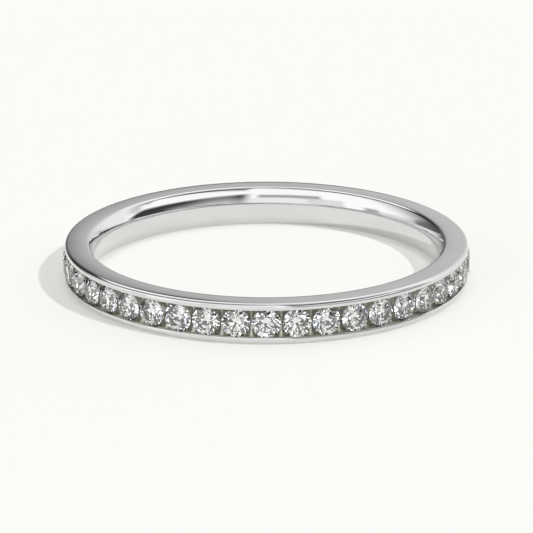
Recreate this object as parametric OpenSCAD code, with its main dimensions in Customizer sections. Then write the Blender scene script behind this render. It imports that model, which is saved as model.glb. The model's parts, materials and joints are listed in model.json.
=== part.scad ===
// Channel set band: a ring of white metal that lies on its side, with one row of
// round brilliant cut stones held between two plain rims. The ring's axis is +Z,
// and the origin is the middle of the side face that it lies on.

/* [Finger] */
// Inner diameter, measured at the crest of the rounded inside
finger_d = 17.4; // [14:0.05:22]
// Straight stretch along the crest of the rounded inside
crest_length = 0.5; // [0.3:0.05:0.9]
// How far the inside falls back from its crest to each side face
comfort_depth = 0.34; // [0.15:0.01:0.5]

/* [Stones] */
// Diameter of a stone at its girdle
stone_d = 1.4; // [1.2:0.02:1.7]
// Width of the flat table on top, corner to corner
table_d = 0.79; // [0.66:0.01:0.9]
// Slope of the crown's kite facets
crown_angle = 34.5; // [30:0.5:38]
// Slope of the pavilion's main facets
pavilion_angle = 41; // [39:0.5:43]
// Height of the girdle
girdle_h = 0.042; // [0.02:0.002:0.08]
// Reach of the star facets from the table's edge to the girdle
star_share = 0.52; // [0.4:0.01:0.6]
// Reach of the lower half facets from the girdle to the culet
lower_share = 0.77; // [0.6:0.01:0.85]
// Least gap between two neighbouring stones
stone_gap = 0.055; // [0.03:0.005:0.2]

/* [Channel] */
// Gap between a stone and the metal that holds it
seat_gap = 0.03; // [0.02:0.005:0.05]
// How far each lip reaches over the girdle
lip_grip = 0.02; // [0.005:0.005:0.04]
// Height of the rims above the top of the girdle
lip_h = 0.125; // [0.11:0.005:0.2]
// Rounding of the lips
lip_round = 0.055; // [0.01:0.005:0.06]
// Drop from the bottom of the girdle to the channel's floor
floor_drop = 0.06; // [0.04:0.01:0.15]
// Radius of a seat where it meets the channel's floor
seat_mouth_r = 0.95; // [0.86:0.01:1.1]
// Radius of the flat bottom of a seat
seat_bottom_r = 0.1; // [0.06:0.01:0.15]
// Width of the ridge left between two seats
ridge_w = 0.06; // [0.03:0.01:0.1]

/* [Band] */
// Width of each rim
rim_w = 0.36; // [0.26:0.01:1.2]
// Rounding of the outer edges
edge_round = 0.12; // [0.02:0.01:0.16]
// Metal left between a seat and the crest of the inside
floor_wall = 0.72; // [0.5:0.01:1.5]

/* [Hidden] */
// Overshoot of a cut past the face that it opens
eps = 0.02;
// Corners of a stone's girdle and of its table
girdle_n = 16;
table_n = 8;

crown_h = (stone_d - table_d) / 2 * tan(crown_angle);
pavilion_h = stone_d / 2 * tan(pavilion_angle);

// Radial stack, from the finger outwards
crest_r = finger_d / 2;
side_r = crest_r + comfort_depth;
seat_r = crest_r + floor_wall;
culet_r = seat_r + seat_gap;
girdle_r = culet_r + pavilion_h;
girdle_top_r = girdle_r + girdle_h;
rim_r = girdle_top_r + lip_h;
floor_r = girdle_r - floor_drop;

// Stack along the finger
opening_w = stone_d - 2 * lip_grip;
groove_w = stone_d + 2 * seat_gap;
band_w = opening_w + 2 * rim_w;
mid_z = band_w / 2;

// The inside is an arc on each side of the straight crest
arc_w = (band_w - crest_length) / 2;
comfort_r = (arc_w * arc_w + comfort_depth * comfort_depth) / (2 * comfort_depth);

stone_count = floor(180 / asin((stone_d + stone_gap) / (2 * girdle_r)));
pitch = 360 / stone_count;
first_angle = -90;

function two_digits(i) = str(i < 10 ? "0" : "", i);
function stone_name(i) = str("stone_", two_digits(i));

// The waste outside a quarter round of radius r, at a corner that points to +x and +y
module corner_waste(r) {
    translate([-r, -r])
        difference() {
            square(r + eps);
            circle(r, $fn = 48);
        }
}

// Section of the plain ring, x is the radius and y runs along the finger
module blank_section() {
    difference() {
        translate([side_r + eps, 0]) square([rim_r - side_r - eps, band_w]);
        translate([rim_r, band_w]) corner_waste(edge_round);
        translate([rim_r, 0]) mirror([0, 1]) corner_waste(edge_round);
    }
    inside_depth = side_r - crest_r + 2 * eps;
    translate([crest_r, mid_z - crest_length / 2]) square([inside_depth, crest_length]);
    for (side = [-1, 1])
        intersection() {
            translate([crest_r + comfort_r, mid_z + side * crest_length / 2])
                circle(comfort_r, $fn = 96);
            translate([crest_r, mid_z + (side - 1) * mid_z / 2])
                square([inside_depth, mid_z]);
        }
}

// Section of the channel, wide at the girdle and narrower between the lips
module channel_section() {
    groove_top_r = girdle_top_r + seat_gap;
    lip_r = groove_top_r + (groove_w - opening_w) / 2 * tan(crown_angle);
    polygon([
        [floor_r, mid_z - groove_w / 2],
        [groove_top_r, mid_z - groove_w / 2],
        [lip_r, mid_z - opening_w / 2],
        [rim_r + eps, mid_z - opening_w / 2],
        [rim_r + eps, mid_z + opening_w / 2],
        [lip_r, mid_z + opening_w / 2],
        [groove_top_r, mid_z + groove_w / 2],
        [floor_r, mid_z + groove_w / 2]
    ]);
    translate([rim_r, mid_z - opening_w / 2]) corner_waste(lip_round);
    translate([rim_r, mid_z + opening_w / 2]) mirror([0, 1]) corner_waste(lip_round);
}

// Stands a stone or its seat at its place in the row, its own +z pointing outwards
module in_row(i, r) {
    rotate([0, 0, first_angle + (i - 1) * pitch])
        translate([r, 0, mid_z])
            rotate([0, 90, 0])
                children();
}

// The tapered hollow under one stone, cut short of the ridges on both sides of it
module seat() {
    depth = floor_r - seat_r;
    top = depth + eps;
    mouth_r = seat_mouth_r + (seat_mouth_r - seat_bottom_r) / depth * eps;
    low = seat_r * tan(pitch / 2) - ridge_w / 2;
    high = (seat_r + top) * tan(pitch / 2) - ridge_w / 2;
    intersection() {
        cylinder(h = top, r1 = seat_bottom_r, r2 = mouth_r, $fn = 48);
        rotate([90, 0, 90])
            linear_extrude(height = stone_d, center = true)
                polygon([[-low, -eps], [low, -eps], [high, top + eps], [-high, top + eps]]);
    }
}

module band() {
    color([0.82, 0.82, 0.83])
        difference() {
            rotate_extrude($fn = 180)
                difference() {
                    blank_section();
                    channel_section();
                }
            for (i = [1:stone_count]) in_row(i, seat_r) seat();
        }
}

// Points of a stone, z is 0 at the bottom of its girdle
function ring_points(n, r, z, turn) =
    [for (k = [0:n - 1]) [r * cos(turn + k * 360 / n), r * sin(turn + k * 360 / n), z]];

// A round brilliant: table, 8 stars, 8 kites, 16 upper halves, girdle, 16 lower halves, 8 mains
module brilliant() {
    r = stone_d / 2;
    half = 180 / table_n;
    table_edge_r = table_d / 2 * cos(half);
    star_r = table_edge_r + star_share * (r - table_edge_r);
    star_z = girdle_h + (r - star_r * cos(half)) * tan(crown_angle);
    lower_r = (1 - lower_share) * r;
    lower_z = (lower_r * cos(half) - r) * tan(pavilion_angle);

    // Where each ring of points starts in the list
    stars = table_n;
    top = stars + table_n;
    bottom = top + girdle_n;
    lowers = bottom + girdle_n;
    culet = lowers + table_n;

    points = concat(
        ring_points(table_n, table_d / 2, girdle_h + crown_h, 0),
        ring_points(table_n, star_r, star_z, half),
        ring_points(girdle_n, r, girdle_h, 0),
        ring_points(girdle_n, r, 0, 0),
        ring_points(table_n, lower_r, lower_z, half),
        [[0, 0, -pavilion_h]]
    );
    faces = concat(
        [[for (k = [table_n - 1:-1:0]) k]],
        [for (k = [0:table_n - 1]) let (n = (k + 1) % table_n)
            [k, n, stars + k]],
        [for (k = [0:table_n - 1]) let (b = (k + table_n - 1) % table_n)
            [k, stars + k, top + 2 * k, stars + b]],
        [for (k = [0:table_n - 1])
            [stars + k, top + 2 * k + 1, top + 2 * k]],
        [for (k = [0:table_n - 1]) let (n = (2 * k + 2) % girdle_n)
            [stars + k, top + n, top + 2 * k + 1]],
        [for (k = [0:girdle_n - 1]) let (n = (k + 1) % girdle_n)
            [top + k, top + n, bottom + n, bottom + k]],
        [for (k = [0:table_n - 1])
            [lowers + k, bottom + 2 * k, bottom + 2 * k + 1]],
        [for (k = [0:table_n - 1]) let (n = (2 * k + 2) % girdle_n)
            [lowers + k, bottom + 2 * k + 1, bottom + n]],
        [for (k = [0:table_n - 1]) let (b = (k + table_n - 1) % table_n)
            [culet, lowers + b, bottom + 2 * k, lowers + k]]
    );
    polyhedron(points, faces);
}

module stone(i) {
    color([0.93, 0.95, 0.98])
        in_row(i, girdle_r) brilliant();
}

band();
for (i = [1:stone_count])
    stone(i);
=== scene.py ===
import json
import math

import bmesh
import bpy
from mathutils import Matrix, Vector


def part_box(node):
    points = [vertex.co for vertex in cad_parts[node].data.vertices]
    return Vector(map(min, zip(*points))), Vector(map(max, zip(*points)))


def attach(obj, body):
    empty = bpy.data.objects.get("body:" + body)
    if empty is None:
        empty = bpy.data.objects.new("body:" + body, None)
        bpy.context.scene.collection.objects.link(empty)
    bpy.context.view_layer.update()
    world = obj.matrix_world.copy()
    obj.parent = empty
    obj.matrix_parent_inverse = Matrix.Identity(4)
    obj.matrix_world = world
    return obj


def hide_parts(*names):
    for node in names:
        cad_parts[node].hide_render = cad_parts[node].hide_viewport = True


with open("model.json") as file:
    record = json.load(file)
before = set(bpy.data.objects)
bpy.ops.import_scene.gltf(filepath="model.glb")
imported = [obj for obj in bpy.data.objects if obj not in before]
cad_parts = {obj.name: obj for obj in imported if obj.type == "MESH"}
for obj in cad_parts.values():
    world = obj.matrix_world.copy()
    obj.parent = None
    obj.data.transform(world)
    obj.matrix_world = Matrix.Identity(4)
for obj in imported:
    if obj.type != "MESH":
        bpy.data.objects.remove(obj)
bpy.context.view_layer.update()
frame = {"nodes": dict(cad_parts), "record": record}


# Band
# A single ring of white gold, cast, turned to size and polished all over. The channel is milled
# into its outside, and a burr cuts one seat for each stone, which leaves a low ridge between two seats.
# The side faces are crowned a little by hand polishing, and the inside is rounded for comfort.

MM = 0.001

finger_bore = next(m for m in frame["record"]["mounts"] if m["name"] == "finger_bore")
band_low, band_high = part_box("band")
band_w = band_high.z - band_low.z
mid_z = band_w / 2
rim_r = band_high.x
crest_r = finger_bore["dims"]["r_mm"] * MM
side_r = crest_r + 0.35 * MM
crest_bend_r = 1.45 * MM
inner_round = 0.2 * MM
side_crown = 0.03 * MM
# The worn outer edge, as radius and end slope of its soft shoulder, its corner and the rim's own crown
shoulder = (0.1 * MM, math.radians(6))
corner = (0.2 * MM, math.radians(72))
rim_crown = (0.22 * MM, math.radians(90))

opening_w = 1.36 * MM
groove_w = 1.46 * MM
groove_top_r = rim_r - 0.095 * MM
lip_round = 0.05 * MM
# The rim's crown on the lip's side, as radius and end slope
lip_crown = (0.25 * MM, math.radians(20))
lip_slope = math.radians(34.5)
floor_r = rim_r - 0.227 * MM
seat_r = rim_r - 0.8055 * MM
seat_mouth_r = 1.06 * MM
seat_bottom_r = 0.1 * MM
seat_ledge = 0.03 * MM
ridge_w = 0.06 * MM
# How far a ridge reaches to each side, as a share of its width, and how deep its top lies, as a share of
# the seats beside it
ridge_reach = 0.75
ridge_drop = 0.93

stone_count = sum(name.startswith("stone_") for name in frame["nodes"])
first_angle = math.radians(-90)
cells_per_stone = 20
sharp_from = math.radians(32)


class Socket:
    """One output of a node. Sums, products and so on of sockets add the Math nodes for them."""

    def __init__(self, graph, socket):
        self.graph = graph
        self.socket = socket

    def maths(self, operation, *values):
        return self.graph.node("ShaderNodeMath", {"operation": operation}, dict(enumerate(values)))

    def __add__(self, other):
        return self.maths("ADD", self, other)

    __radd__ = __add__

    def __sub__(self, other):
        return self.maths("SUBTRACT", self, other)

    def __rsub__(self, other):
        return self.maths("SUBTRACT", other, self)

    def __mul__(self, other):
        return self.maths("MULTIPLY", self, other)

    __rmul__ = __mul__

    def __truediv__(self, other):
        return self.maths("DIVIDE", self, other)

    def __rtruediv__(self, other):
        return self.maths("DIVIDE", other, self)

    def __lt__(self, other):
        return self.maths("LESS_THAN", self, other)

    def __gt__(self, other):
        return self.maths("GREATER_THAN", self, other)

    def __abs__(self):
        return self.maths("ABSOLUTE", self)

    def clamped(self):
        return self.maths("MAXIMUM", self.maths("MINIMUM", self, 1.0), 0.0)


class Graph:
    """A node tree, and the one way that nodes are added to it."""

    def __init__(self, tree):
        self.tree = tree

    def node(self, kind, settings=None, sockets=None, output=0):
        """Adds a node: its settings come first, then a value or a link for each socket."""
        made = self.tree.nodes.new(kind)
        for name, value in (settings or {}).items():
            if name == "stops":
                ramp = made.color_ramp.elements
                while len(ramp) < len(value):
                    ramp.new(0.5)
                for stop, (position, colour) in zip(ramp, value):
                    stop.position = position
                    stop.color = colour
            else:
                setattr(made, name, value)
        for name, value in (sockets or {}).items():
            if isinstance(value, Socket):
                self.tree.links.new(value.socket, made.inputs[name])
            else:
                made.inputs[name].default_value = value
        outputs = made.outputs
        return Socket(self, outputs[output]) if len(outputs) else None


def grow(name, mesh, material, sizes, build):
    """Runs a new Geometry Nodes tree on a mesh and returns the plain mesh object that comes out.

    sizes holds the tree's named inputs, and build(graph, mesh socket, inputs) gives its last socket."""
    tree = bpy.data.node_groups.new(name, "GeometryNodeTree")
    tree.interface.new_socket("Geometry", in_out="INPUT", socket_type="NodeSocketGeometry")
    tree.interface.new_socket("Geometry", in_out="OUTPUT", socket_type="NodeSocketGeometry")
    identifiers = {}
    for size, value in sizes.items():
        kind = "NodeSocketInt" if isinstance(value, int) else "NodeSocketFloat"
        identifiers[size] = tree.interface.new_socket(size, in_out="INPUT", socket_type=kind).identifier
    graph = Graph(tree)
    entry = tree.nodes.new("NodeGroupInput")
    inputs = {size: Socket(graph, entry.outputs[size]) for size in sizes}
    made = build(graph, Socket(graph, entry.outputs["Geometry"]), inputs)
    real = graph.node("GeometryNodeRealizeInstances", sockets={"Geometry": made})
    painted = graph.node("GeometryNodeSetMaterial", sockets={"Geometry": real, "Material": material})
    graph.node("NodeGroupOutput", sockets={"Geometry": painted})

    seed = bpy.data.objects.new(name + "_seed", mesh)
    bpy.context.scene.collection.objects.link(seed)
    modifier = seed.modifiers.new(name, "NODES")
    modifier.node_group = tree
    for size, value in sizes.items():
        modifier[identifiers[size]] = value
    graph_state = bpy.context.evaluated_depsgraph_get()
    plain = bpy.data.meshes.new_from_object(seed.evaluated_get(graph_state), depsgraph=graph_state)
    plain.name = name
    seed.modifiers.remove(modifier)
    bpy.data.objects.remove(seed)
    piece = bpy.data.objects.new(name, plain)
    bpy.context.scene.collection.objects.link(piece)
    return piece


def arc(centre, radius, start, end, steps):
    """Points on an arc of the section, from one angle to the other, both ends included."""
    turns = [start + (end - start) * k / steps for k in range(steps + 1)]
    return [(centre[0] + radius * math.cos(a), centre[1] + radius * math.sin(a)) for a in turns]


def comfort_line(height):
    """The rounded inside at a height above the ring's middle: distance from the axis, and its slope."""
    bend = 1 / (2 * crest_bend_r)
    easing = (bend * mid_z**2 - (side_r - crest_r)) / mid_z**4
    radius = crest_r + bend * height**2 - easing * height**4
    return radius, 2 * bend * height - 4 * easing * height**3


def ring_section():
    """The closed outline of the band's section: (distance from the axis, height above its middle).

    It runs from the inside's crest up over the side face, round the rim and down into the channel,
    and then back by its own mirror image."""
    # The crowned side face is an arc that meets the shoulder without a corner
    bends = (shoulder, corner, rim_crown)
    face_high = rim_r
    for _ in range(30):
        face_half = (face_high - side_r) / 2
        crown_r = (face_half * face_half + side_crown * side_crown) / (2 * side_crown)
        slope = math.asin(face_half / crown_r)
        width = 0
        for radius, end_slope in bends:
            width += radius * (math.sin(end_slope) - math.sin(slope))
            slope = end_slope
        face_high = rim_r - width
    crown_centre = Vector(((side_r + face_high) / 2, mid_z - crown_r))
    crown_end = math.pi / 2 - math.asin(face_half / crown_r)

    # The inner round is rolled up the comfort line until it touches the crowned face
    low, high = mid_z / 2, mid_z
    for _ in range(50):
        touch = (low + high) / 2
        radius, slope = comfort_line(touch)
        inner_centre = Vector((radius, touch)) + Vector((1, -slope)).normalized() * inner_round
        if (inner_centre - crown_centre).length > crown_r - inner_round:
            high = touch
        else:
            low = touch
    comfort_end = math.atan2(slope, -1)
    crown_start = math.atan2(inner_centre.y - crown_centre.y, inner_centre.x - crown_centre.x)

    # The last two points of the comfort line stand close, and so do those at both ends of the crown,
    # which keeps each bend's shading to itself
    comfort_steps = 10
    last_step = 0.985
    heights = [touch * k / comfort_steps for k in range(comfort_steps)] + [touch * last_step, touch]
    half = [(comfort_line(height)[0], height) for height in heights]
    half += arc(inner_centre, inner_round, comfort_end, crown_start, 7)[1:]
    face = arc(crown_centre, crown_r, crown_start, crown_end, 24)
    half += [face[k] for k in (2, 6, 12, 18, 22, 24)]
    bend_steps = (2, 7, 3)
    angle = crown_end
    for (radius, end_slope), steps in zip(bends, bend_steps):
        end = Vector(half[-1])
        centre = end - Vector((math.cos(angle), math.sin(angle))) * radius
        half += arc(centre, radius, angle, math.pi / 2 - end_slope, steps)[1:]
        angle = math.pi / 2 - end_slope

    # The lip, the slope under it, the groove's wall and the floor down to the ring's middle
    lip_u = opening_w / 2
    groove_u = groove_w / 2
    lip_r = groove_top_r + (groove_u - lip_u) * math.tan(lip_slope)
    bow_r, bow_end = lip_crown
    bow_u = lip_u + lip_round + (bow_r - lip_round) * math.sin(bow_end)
    lip_centre = (rim_r - bow_r + (bow_r - lip_round) * math.cos(bow_end), lip_u + lip_round)
    half += arc((rim_r - bow_r, bow_u), bow_r, 0, -bow_end, 3)
    half += arc(lip_centre, lip_round, -bow_end, -math.pi / 2, 4)[1:]
    half += [(lip_r, lip_u), (groove_top_r, groove_u), (floor_r, groove_u)]
    ledge_u = groove_u - seat_ledge
    floor_steps = 9
    half += [(floor_r, ledge_u)]
    half += [(floor_r, ledge_u * k / floor_steps) for k in range(floor_steps - 1, 0, -1)]
    half += [(floor_r, 0.0)]
    return half + [(r, -u) for r, u in reversed(half[1:-1])]


def section_mesh():
    """The section as a closed loop of edges, laid out the way that Curve to Mesh takes it."""
    points = ring_section()
    count = len(points)
    mesh = bpy.data.meshes.new("band_section")
    places = [(r - crest_r, -u, 0) for r, u in points]
    mesh.from_pydata(places, [(k, (k + 1) % count) for k in range(count)], [])
    return mesh


def sweep_band(graph, section, size):
    """Sweeps the section round the finger and sinks a tapered seat for each stone into the floor."""
    path = graph.node(
        "GeometryNodeCurvePrimitiveCircle",
        {"mode": "RADIUS"},
        {"Resolution": size["Cells"], "Radius": size["Crest radius"]},
    )
    half_cell = math.pi / size["Cells"]
    turn = graph.node("ShaderNodeCombineXYZ", sockets={"Z": half_cell})
    lift = graph.node("ShaderNodeCombineXYZ", sockets={"Z": size["Middle height"]})
    path = graph.node(
        "GeometryNodeTransform", sockets={"Geometry": path, "Translation": lift, "Rotation": turn}
    )
    profile = graph.node("GeometryNodeMeshToCurve", sockets={"Mesh": section})
    ring = graph.node("GeometryNodeCurveToMesh", sockets={"Curve": path, "Profile Curve": profile})

    place = graph.node("GeometryNodeInputPosition")
    parts = [
        graph.node("ShaderNodeSeparateXYZ", sockets={"Vector": place}, output=axis) for axis in range(3)
    ]
    x, y, z = parts
    radius = x.maths("SQRT", x * x + y * y)
    angle = x.maths("ARCTAN2", y, x)
    pitch = 2 * math.pi / size["Stones"]
    from_stone = angle - size["First angle"] + pitch / 2
    from_stone = from_stone - pitch * from_stone.maths("FLOOR", from_stone / pitch) - pitch / 2
    along = from_stone * size["Floor radius"]
    across = z - size["Middle height"]
    from_ridge = pitch / 2 * size["Floor radius"] - abs(along)

    reach = along.maths("SQRT", along * along + across * across)
    taper = size["Mouth radius"] - size["Bottom radius"]
    share = ((size["Mouth radius"] - reach) / taper).clamped()
    depth = share * (size["Floor radius"] - size["Seat radius"])
    hair = 0.0001 * MM
    on_floor = abs(radius - size["Floor radius"]) < hair
    in_seat = abs(across) < size["Ledge"] - hair
    off_ridge = from_ridge > size["Ridge width"] * ridge_reach
    sink = depth * on_floor * in_seat * (ridge_drop + (1 - ridge_drop) * off_ridge)
    inward = 1 - sink / radius
    sunk = graph.node(
        "ShaderNodeCombineXYZ", sockets={"X": x * inward, "Y": y * inward, "Z": z}
    )
    ring = graph.node("GeometryNodeSetPosition", sockets={"Geometry": ring, "Position": sunk})

    ring = graph.node("GeometryNodeSetShadeSmooth", {"domain": "FACE"}, {"Geometry": ring})
    bend = graph.node("GeometryNodeInputMeshEdgeAngle")
    sharp = graph.node(
        "GeometryNodeSetShadeSmooth",
        {"domain": "EDGE"},
        {"Geometry": ring, "Selection": bend > sharp_from, "Shade Smooth": False},
    )
    return sharp


def white_gold():
    """Polished white gold: a mirror with the faint haze and hairlines that a buffing wheel leaves."""
    polish = 0.01
    haze = 0.03
    burr_finish = 0.4
    hairlines_per_metre = 60000
    hairline_waves = 0.8
    material = bpy.data.materials.new("white_gold")
    material.use_nodes = True
    material.node_tree.nodes.clear()
    graph = Graph(material.node_tree)
    place = graph.node("ShaderNodeTexCoord", output="Object")
    x, y, z = [
        graph.node("ShaderNodeSeparateXYZ", sockets={"Vector": place}, output=axis) for axis in range(3)
    ]
    radius = x.maths("SQRT", x * x + y * y)

    cloud = graph.node("ShaderNodeTexNoise", sockets={"Vector": place, "Scale": 420.0, "Detail": 3.0})
    turned = graph.node(
        "ShaderNodeCombineXYZ",
        sockets={
            "X": radius * hairlines_per_metre,
            "Y": z * hairlines_per_metre,
            "Z": cloud * hairline_waves,
        },
    )
    hairline = graph.node(
        "ShaderNodeTexNoise", sockets={"Vector": turned, "Scale": 1.0, "Detail": 2.0}
    )
    tone = graph.node(
        "ShaderNodeValToRGB",
        {"stops": [(0.3, (0.70, 0.70, 0.71, 1)), (0.7, (0.75, 0.75, 0.76, 1))]},
        {"Fac": cloud},
    )
    # Inside the channel the alloy stays as the burr left it, because polish doesn't reach it
    under_lips = radius < groove_top_r + 0.002 * MM
    off_inside = radius > crest_r + 0.4 * MM
    in_groove = abs(z - mid_z) < groove_w / 2 + 0.01 * MM
    bare = under_lips * off_inside * in_groove
    bare_alloy = (0.72, 0.72, 0.63, 1)
    tone = graph.node(
        "ShaderNodeMix", {"data_type": "RGBA"}, {0: bare, 6: tone, 7: bare_alloy}, output=2
    )
    bump = graph.node(
        "ShaderNodeBump", sockets={"Strength": 0.02, "Distance": 0.002 * MM, "Height": hairline}
    )
    shader = graph.node(
        "ShaderNodeBsdfPrincipled",
        sockets={
            "Base Color": tone,
            "Metallic": 1.0,
            "Roughness": polish + cloud * haze + bare * burr_finish,
            "Normal": bump,
        },
    )
    graph.node("ShaderNodeOutputMaterial", sockets={"Surface": shader})
    return material


band = grow(
    "channel_band",
    section_mesh(),
    white_gold(),
    {
        "Cells": stone_count * cells_per_stone,
        "Stones": stone_count,
        "First angle": first_angle,
        "Crest radius": crest_r,
        "Middle height": mid_z,
        "Floor radius": floor_r,
        "Seat radius": seat_r,
        "Mouth radius": seat_mouth_r,
        "Bottom radius": seat_bottom_r,
        "Ledge": groove_w / 2 - seat_ledge,
        "Ridge width": ridge_w,
    },
    sweep_band,
)
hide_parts("band")
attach(band, "root")


# Stones
# Round brilliant cut diamonds, all of one size, held at the girdle by the groove under each lip.
# Each is cut and polished flat by flat, and sits with its table outwards at its own chance turn.

stone_low, stone_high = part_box("stone_01")
stone_r = (stone_high.x - stone_low.x) / 2
table_place = -stone_low.y
culet_place = -stone_high.y
pavilion_angle = math.radians(41)
crown_angle = math.radians(34.5)
table_r = 0.395 * MM
girdle_place = culet_place + stone_r * math.tan(pavilion_angle)
crown_h = (stone_r - table_r) * math.tan(crown_angle)
girdle_h = table_place - girdle_place - crown_h
star_share = 0.52
lower_share = 0.77
cut_folds = 8
girdle_sides = 64
spin_seed = 7


def spoke(radius, turn, height):
    """A point of the stone, given by its distance from the middle, its turn in folds and its height."""
    angle = 2 * math.pi * turn / cut_folds
    return Vector((radius * math.cos(angle), radius * math.sin(angle), height))


def facet_planes():
    """Three points on each facet's plane: table, stars, kites, upper halves, mains and lower halves."""
    half = math.pi / cut_folds
    table_edge = table_r * math.cos(half)
    star_r = table_edge + star_share * (stone_r - table_edge)
    star_z = girdle_h + (stone_r - star_r * math.cos(half)) * math.tan(crown_angle)
    lower_r = (1 - lower_share) * stone_r
    lower_z = (lower_r * math.cos(half) - stone_r) * math.tan(pavilion_angle)
    table_z = girdle_h + crown_h
    culet = Vector((0, 0, -stone_r * math.tan(pavilion_angle)))
    planes = [[spoke(table_r, k, table_z) for k in (0, 2, 4)]]
    for k in range(cut_folds):
        star = spoke(star_r, k + 0.5, star_z)
        planes.append([spoke(table_r, k, table_z), spoke(table_r, k + 1, table_z), star])
        planes.append([spoke(stone_r, k, girdle_h), spoke(star_r, k - 0.5, star_z), star])
        planes.append([spoke(stone_r, k, girdle_h), spoke(stone_r, k + 0.5, girdle_h), star])
        planes.append([spoke(stone_r, k + 0.5, girdle_h), spoke(stone_r, k + 1, girdle_h), star])
        lower = spoke(lower_r, k + 0.5, lower_z)
        planes.append([spoke(stone_r, k, 0), spoke(lower_r, k - 0.5, lower_z), culet])
        planes.append([spoke(stone_r, k, 0), spoke(stone_r, k + 0.5, 0), lower])
        planes.append([spoke(stone_r, k + 0.5, 0), spoke(stone_r, k + 1, 0), lower])
    return planes


def brilliant_mesh():
    """A round blank that is cut by one plane after another, as a stone is on the wheel."""
    hair = 1e-9
    weld = 1e-7
    cut = bmesh.new()
    blank_h = 3 * stone_r
    bmesh.ops.create_cone(
        cut, cap_ends=True, segments=girdle_sides, radius1=stone_r, radius2=stone_r, depth=blank_h
    )
    inside = Vector((0, 0, -0.2 * stone_r))
    for a, b, c in facet_planes():
        normal = (b - a).cross(c - a).normalized()
        if normal.dot(a - inside) < 0:
            normal.negate()
        made = bmesh.ops.bisect_plane(
            cut,
            geom=cut.verts[:] + cut.edges[:] + cut.faces[:],
            dist=hair,
            plane_co=a,
            plane_no=normal,
            clear_outer=True,
        )
        rim = [edge for edge in made["geom_cut"] if isinstance(edge, bmesh.types.BMEdge)]
        open_rim = [edge for edge in rim if edge.is_boundary]
        if open_rim:
            bmesh.ops.contextual_create(cut, geom=open_rim)
    bmesh.ops.remove_doubles(cut, verts=cut.verts[:], dist=weld)
    bmesh.ops.recalc_face_normals(cut, faces=cut.faces[:])
    mesh = bpy.data.meshes.new("brilliant")
    cut.to_mesh(mesh)
    cut.free()
    return mesh


def set_stones(graph, stone, size):
    """Stands one stone at each place in the row, its table outwards, at its own chance turn."""
    row = graph.node(
        "GeometryNodeMeshCircle",
        {"fill_type": "NONE"},
        {"Vertices": size["Stones"], "Radius": size["Girdle radius"]},
    )
    turn = graph.node("ShaderNodeCombineXYZ", sockets={"Z": size["First angle"]})
    lift = graph.node("ShaderNodeCombineXYZ", sockets={"Z": size["Middle height"]})
    row = graph.node(
        "GeometryNodeTransform", sockets={"Geometry": row, "Translation": lift, "Rotation": turn}
    )
    number = graph.node("GeometryNodeInputIndex")
    heading = size["First angle"] + number * (2 * math.pi / size["Stones"])
    spin = graph.node(
        "FunctionNodeRandomValue",
        {"data_type": "FLOAT"},
        {"ID": number, "Seed": size["Seed"], "Min": 0.0, "Max": 2 * math.pi / cut_folds},
        output=1,
    )
    own_turn = graph.node("ShaderNodeCombineXYZ", sockets={"Z": spin})
    outwards = graph.node("ShaderNodeCombineXYZ", sockets={"Y": math.pi / 2, "Z": heading})
    stance = graph.node(
        "FunctionNodeRotateEuler",
        {"rotation_type": "EULER", "space": "LOCAL"},
        {"Rotation": outwards, "Rotate By": own_turn},
    )
    return graph.node(
        "GeometryNodeInstanceOnPoints", sockets={"Points": row, "Instance": stone, "Rotation": stance}
    )


def diamond():
    """Clear, colourless stone with the high index that gives a diamond its sparkle."""
    material = bpy.data.materials.new("stone")
    material.use_nodes = True
    material.node_tree.nodes.clear()
    graph = Graph(material.node_tree)
    place = graph.node("ShaderNodeTexCoord", output="Object")
    cloud = graph.node("ShaderNodeTexNoise", sockets={"Vector": place, "Scale": 700.0, "Detail": 1.0})
    tone = graph.node(
        "ShaderNodeValToRGB",
        {"stops": [(0.35, (0.96, 0.97, 1.0, 1)), (0.65, (1.0, 1.0, 0.99, 1))]},
        {"Fac": cloud},
    )
    shader = graph.node(
        "ShaderNodeBsdfPrincipled",
        sockets={
            "Base Color": tone,
            "Roughness": 0.0,
            "IOR": 2.417,
            "Transmission Weight": 1.0,
        },
    )
    graph.node("ShaderNodeOutputMaterial", sockets={"Surface": shader})
    return material


stones = grow(
    "diamonds",
    brilliant_mesh(),
    diamond(),
    {
        "Stones": stone_count,
        "First angle": first_angle,
        "Girdle radius": girdle_place,
        "Middle height": mid_z,
        "Seed": spin_seed,
    },
    set_stones,
)
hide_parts(*[name for name in frame["nodes"] if name.startswith("stone_")])
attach(stones, "root")


# Floor
# A wide sheet of matt, off-white paper that the ring lies on. It runs out of the picture on all sides
# and isn't part of the ring.

floor_half = 1.2
floor_mesh = bpy.data.meshes.new("floor")
floor_mesh.from_pydata(
    [(sx * floor_half, sy * floor_half, band_low.z) for sx, sy in ((-1, -1), (1, -1), (1, 1), (-1, 1))],
    [],
    [(0, 1, 2, 3)],
)
floor = bpy.data.objects.new("floor", floor_mesh)
bpy.context.scene.collection.objects.link(floor)
paper = bpy.data.materials.new("paper")
paper.use_nodes = True
paper.node_tree.nodes.clear()
paper_graph = Graph(paper.node_tree)
paper_shader = paper_graph.node(
    "ShaderNodeBsdfPrincipled",
    sockets={"Base Color": (0.945, 0.953, 0.912, 1), "Roughness": 0.9, "Specular IOR Level": 0.1},
)
paper_graph.node("ShaderNodeOutputMaterial", sockets={"Surface": paper_shader})
floor_mesh.materials.append(paper)


# Light
# A white photo tent with gaps between its cloths, drawn as the world behind everything. A lamp from the
# right casts the soft shadow, one overhead darkens the floor at the ring's foot, and a fill without a
# shadow lights the floor evenly.

key_strength = 0.95
key_width = math.radians(2.5)
key_heading = math.radians(122)
key_height = math.radians(49)
overhead_strength = 0.6
fill_strength = 0.915
soft_width = math.radians(30)

tent_white = 1.18
tent_black = 0.02
shiny_gain = 1.11
matt_gain = 0.45
stone_gain = 2.4
backdrop = 0.95

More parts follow.
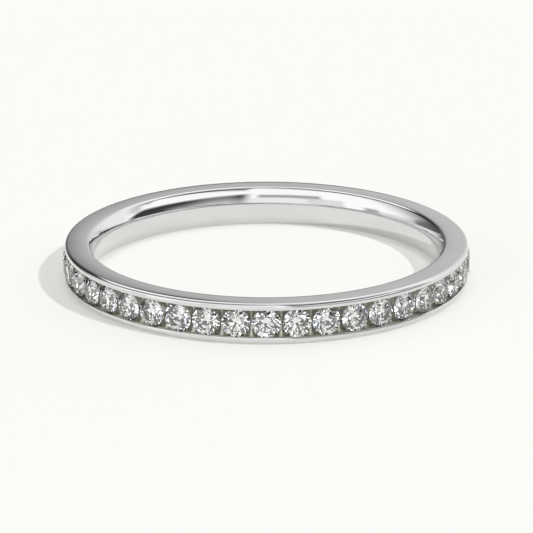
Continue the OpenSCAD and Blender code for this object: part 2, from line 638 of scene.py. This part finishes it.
world = bpy.data.worlds.new("studio")
world.use_nodes = True
world.node_tree.nodes.clear()
bpy.context.scene.world = world
studio = Graph(world.node_tree)

look = studio.node("ShaderNodeTexCoord", output="Generated")
look_x, look_y, look_z = [
    studio.node("ShaderNodeSeparateXYZ", sockets={"Vector": look}, output=axis) for axis in range(3)
]
heading = look_x.maths("ARCTAN2", look_x, look_y) * math.degrees(1)
height = look_z.maths("ARCSINE", look_z) * math.degrees(1)


def ramp(value, start, end):
    """0 up to start and 1 from end on, with a smooth rise between them."""
    share = ((value - start) / (end - start)).clamped()
    return share * share * (3 - 2 * share)


def lay(light, cloth, share):
    """Covers a share of the light that is there with a cloth of another brightness."""
    return light + (cloth - light) * share


def hang(light, at, half_width, low, high, edge, cloth):
    """Hangs a soft-edged cloth at a heading, clockwise from +Y, between two heights, all in degrees."""
    off = abs(heading.maths("WRAP", heading - at, 180.0, -180.0))
    share = 1 - ramp(off, half_width - edge / 2, half_width + edge / 2)
    share = share * ramp(height, low - edge / 2, low + edge / 2)
    share = share * (1 - ramp(height, high - edge / 2, high + edge / 2))
    return lay(light, cloth, share)


# The tent's left wall, a little greyer low down, and the camera with its stand in front of the wall
light = hang(tent_white, at=-84, half_width=20, low=-10, high=8, edge=8, cloth=0.8)
light = hang(light, at=-105, half_width=6, low=-10, high=12, edge=6, cloth=0.48)
light = hang(light, at=-142, half_width=16, low=-10, high=21, edge=6, cloth=0.86)
light = hang(light, at=-172, half_width=20, low=-10, high=18, edge=4, cloth=1.02)
light = hang(light, at=-164, half_width=22, low=20, high=29, edge=5, cloth=0.48)

# A fold in the right wall, darkest halfway up
light = hang(light, at=80, half_width=6, low=14, high=55, edge=8, cloth=0.72)
light = hang(light, at=84, half_width=9, low=26, high=44, edge=6, cloth=0.3)

# The dark gap under the right wall, whose lower edge rises towards the camera and drops at its far end
edge_height = 17.5
edge_slope = 0.18
edge_drop = 15
over_edge = height - edge_height - edge_slope * (heading - 90)
over_edge = over_edge + edge_drop * (1 - ramp(heading, 66, 92))
under = 0.05 + 0.2 * ramp(heading, 118, 146) * (1 - 0.7 * ramp(heading, 152, 162))
under = under + 0.4 * ramp(0 - over_edge, 4, 24) * ramp(heading, 100, 120)
gap = ramp(heading, 66, 78) * (1 - ramp(heading, 162, 172)) * (1 - ramp(over_edge, -3, 3))
light = lay(light, under, gap)

# The grey wall at the back, which falls off to a dark gap between it and the left wall
wall = 0.03 + 0.17 * ramp(heading, -34, -18)
wall = wall + 0.38 * ramp(heading, -14, 4) + 0.4 * ramp(heading, 0, 60)
wall = hang(wall, at=-9, half_width=7, low=27, high=37, edge=4, cloth=0.1)
past_gap = heading + 52 + 1.25 * height
light = lay(light, wall, ramp(past_gap, -22, 28) * (1 - ramp(heading, 66, 84)))

# The tent's top, brightest on the key lamp's side, and the dark foot of the back wall
top = 0.17 + 0.96 * ramp(0.82 * look_x - 0.57 * look_y, -0.35, 0.65)
light = lay(light, top, ramp(height, 39, 61))
foot = 0.8 * (1 - ramp(height, 7, 13)) * (1 - ramp(abs(heading + 30), 30, 38))
light = lay(light, 0.1, foot)

# The rays that leave a stone see a brighter tent, the key lamp's glow, the black camera and black cards
clear = studio.node("ShaderNodeLightPath", output="Is Transmission Ray")
cards = studio.node("ShaderNodeTexNoise", sockets={"Vector": look, "Scale": 9.0, "Detail": 0.0})
glow_at = math.degrees(key_heading)
sparkle = hang(light, at=glow_at, half_width=5, low=45, high=53, edge=3, cloth=3.0) * stone_gain
sparkle = hang(sparkle, at=180, half_width=42, low=2, high=44, edge=4, cloth=tent_black)
sparkle = lay(sparkle, tent_black, ramp(cards, 0.55, 0.57))

# All others see a white cloth high over the back instead, and a dark one high over the right
light = hang(light, at=-8, half_width=58, low=38, high=74, edge=8, cloth=1.15)
light = hang(light, at=122, half_width=44, low=40, high=74, edge=8, cloth=0.15)
light = lay(light, sparkle, clear)

# Matt things take less of the tent, because the lamps light them too. Past the floor's end, the camera
# sees an off-white backdrop.
matt = studio.node("ShaderNodeLightPath", output="Diffuse Depth")
light = light * lay(shiny_gain, matt_gain, matt.clamped())
seen = studio.node("ShaderNodeLightPath", output="Is Camera Ray")
light = lay(light, backdrop, seen)

# Blue and orange patches for the stones' rays alone, in place of the colours that a diamond splits
blue = (0.76, 0.83, 1, 1)
white = (1, 1, 1, 1)
orange = (1, 0.84, 0.76, 1)
fire = studio.node("ShaderNodeTexNoise", sockets={"Vector": look, "Scale": 15.0, "Detail": 0.0})
tint = studio.node(
    "ShaderNodeValToRGB",
    {"stops": [(0.38, blue), (0.46, white), (0.58, white), (0.64, orange)]},
    {"Fac": lay(0.5, fire, clear)},
)
sky = studio.node("ShaderNodeBackground", sockets={"Color": tint, "Strength": light})
studio.node("ShaderNodeOutputWorld", sockets={"Surface": sky})


def lamp(name, strength, width, toward, shadow):
    """A far lamp of an angular width. Only the floor and other matt things see it."""
    data = bpy.data.lights.new(name, "SUN")
    data.energy = strength
    data.angle = width
    data.use_shadow = shadow
    made = bpy.data.objects.new(name, data)
    made.rotation_euler = (-toward).to_track_quat("-Z", "Y").to_euler()
    made.visible_glossy = False
    made.visible_transmission = False
    bpy.context.scene.collection.objects.link(made)


key_x = math.sin(key_heading) * math.cos(key_height)
key_y = math.cos(key_heading) * math.cos(key_height)
straight_up = Vector((0, 0, 1))
lamp("key", key_strength, key_width, Vector((key_x, key_y, math.sin(key_height))), True)
lamp("overhead", overhead_strength, soft_width, straight_up, True)
lamp("fill", fill_strength, soft_width, straight_up, False)


# Camera
# A long lens, 18 degrees above the floor, straight in front of the first stone. It stands as far off as
# the photograph's flat perspective asks.

camera_elevation = math.radians(18.33)
camera_distance = 175 * MM
camera_focus = Vector((0.005 * MM, 0, 0.6 * MM))
camera_data = bpy.data.cameras.new("camera")
camera_data.lens = 232.6
camera_data.sensor_width = 36
camera_data.clip_start = 10 * MM
camera_data.clip_end = 10
camera = bpy.data.objects.new("camera", camera_data)
sight = Vector((0, math.cos(camera_elevation), -math.sin(camera_elevation)))
camera.location = camera_focus - sight * camera_distance
camera.rotation_euler = sight.to_track_quat("-Z", "Y").to_euler()
bpy.context.scene.collection.objects.link(camera)
bpy.context.scene.camera = camera

scene = bpy.context.scene
scene.view_settings.view_transform = "Standard"
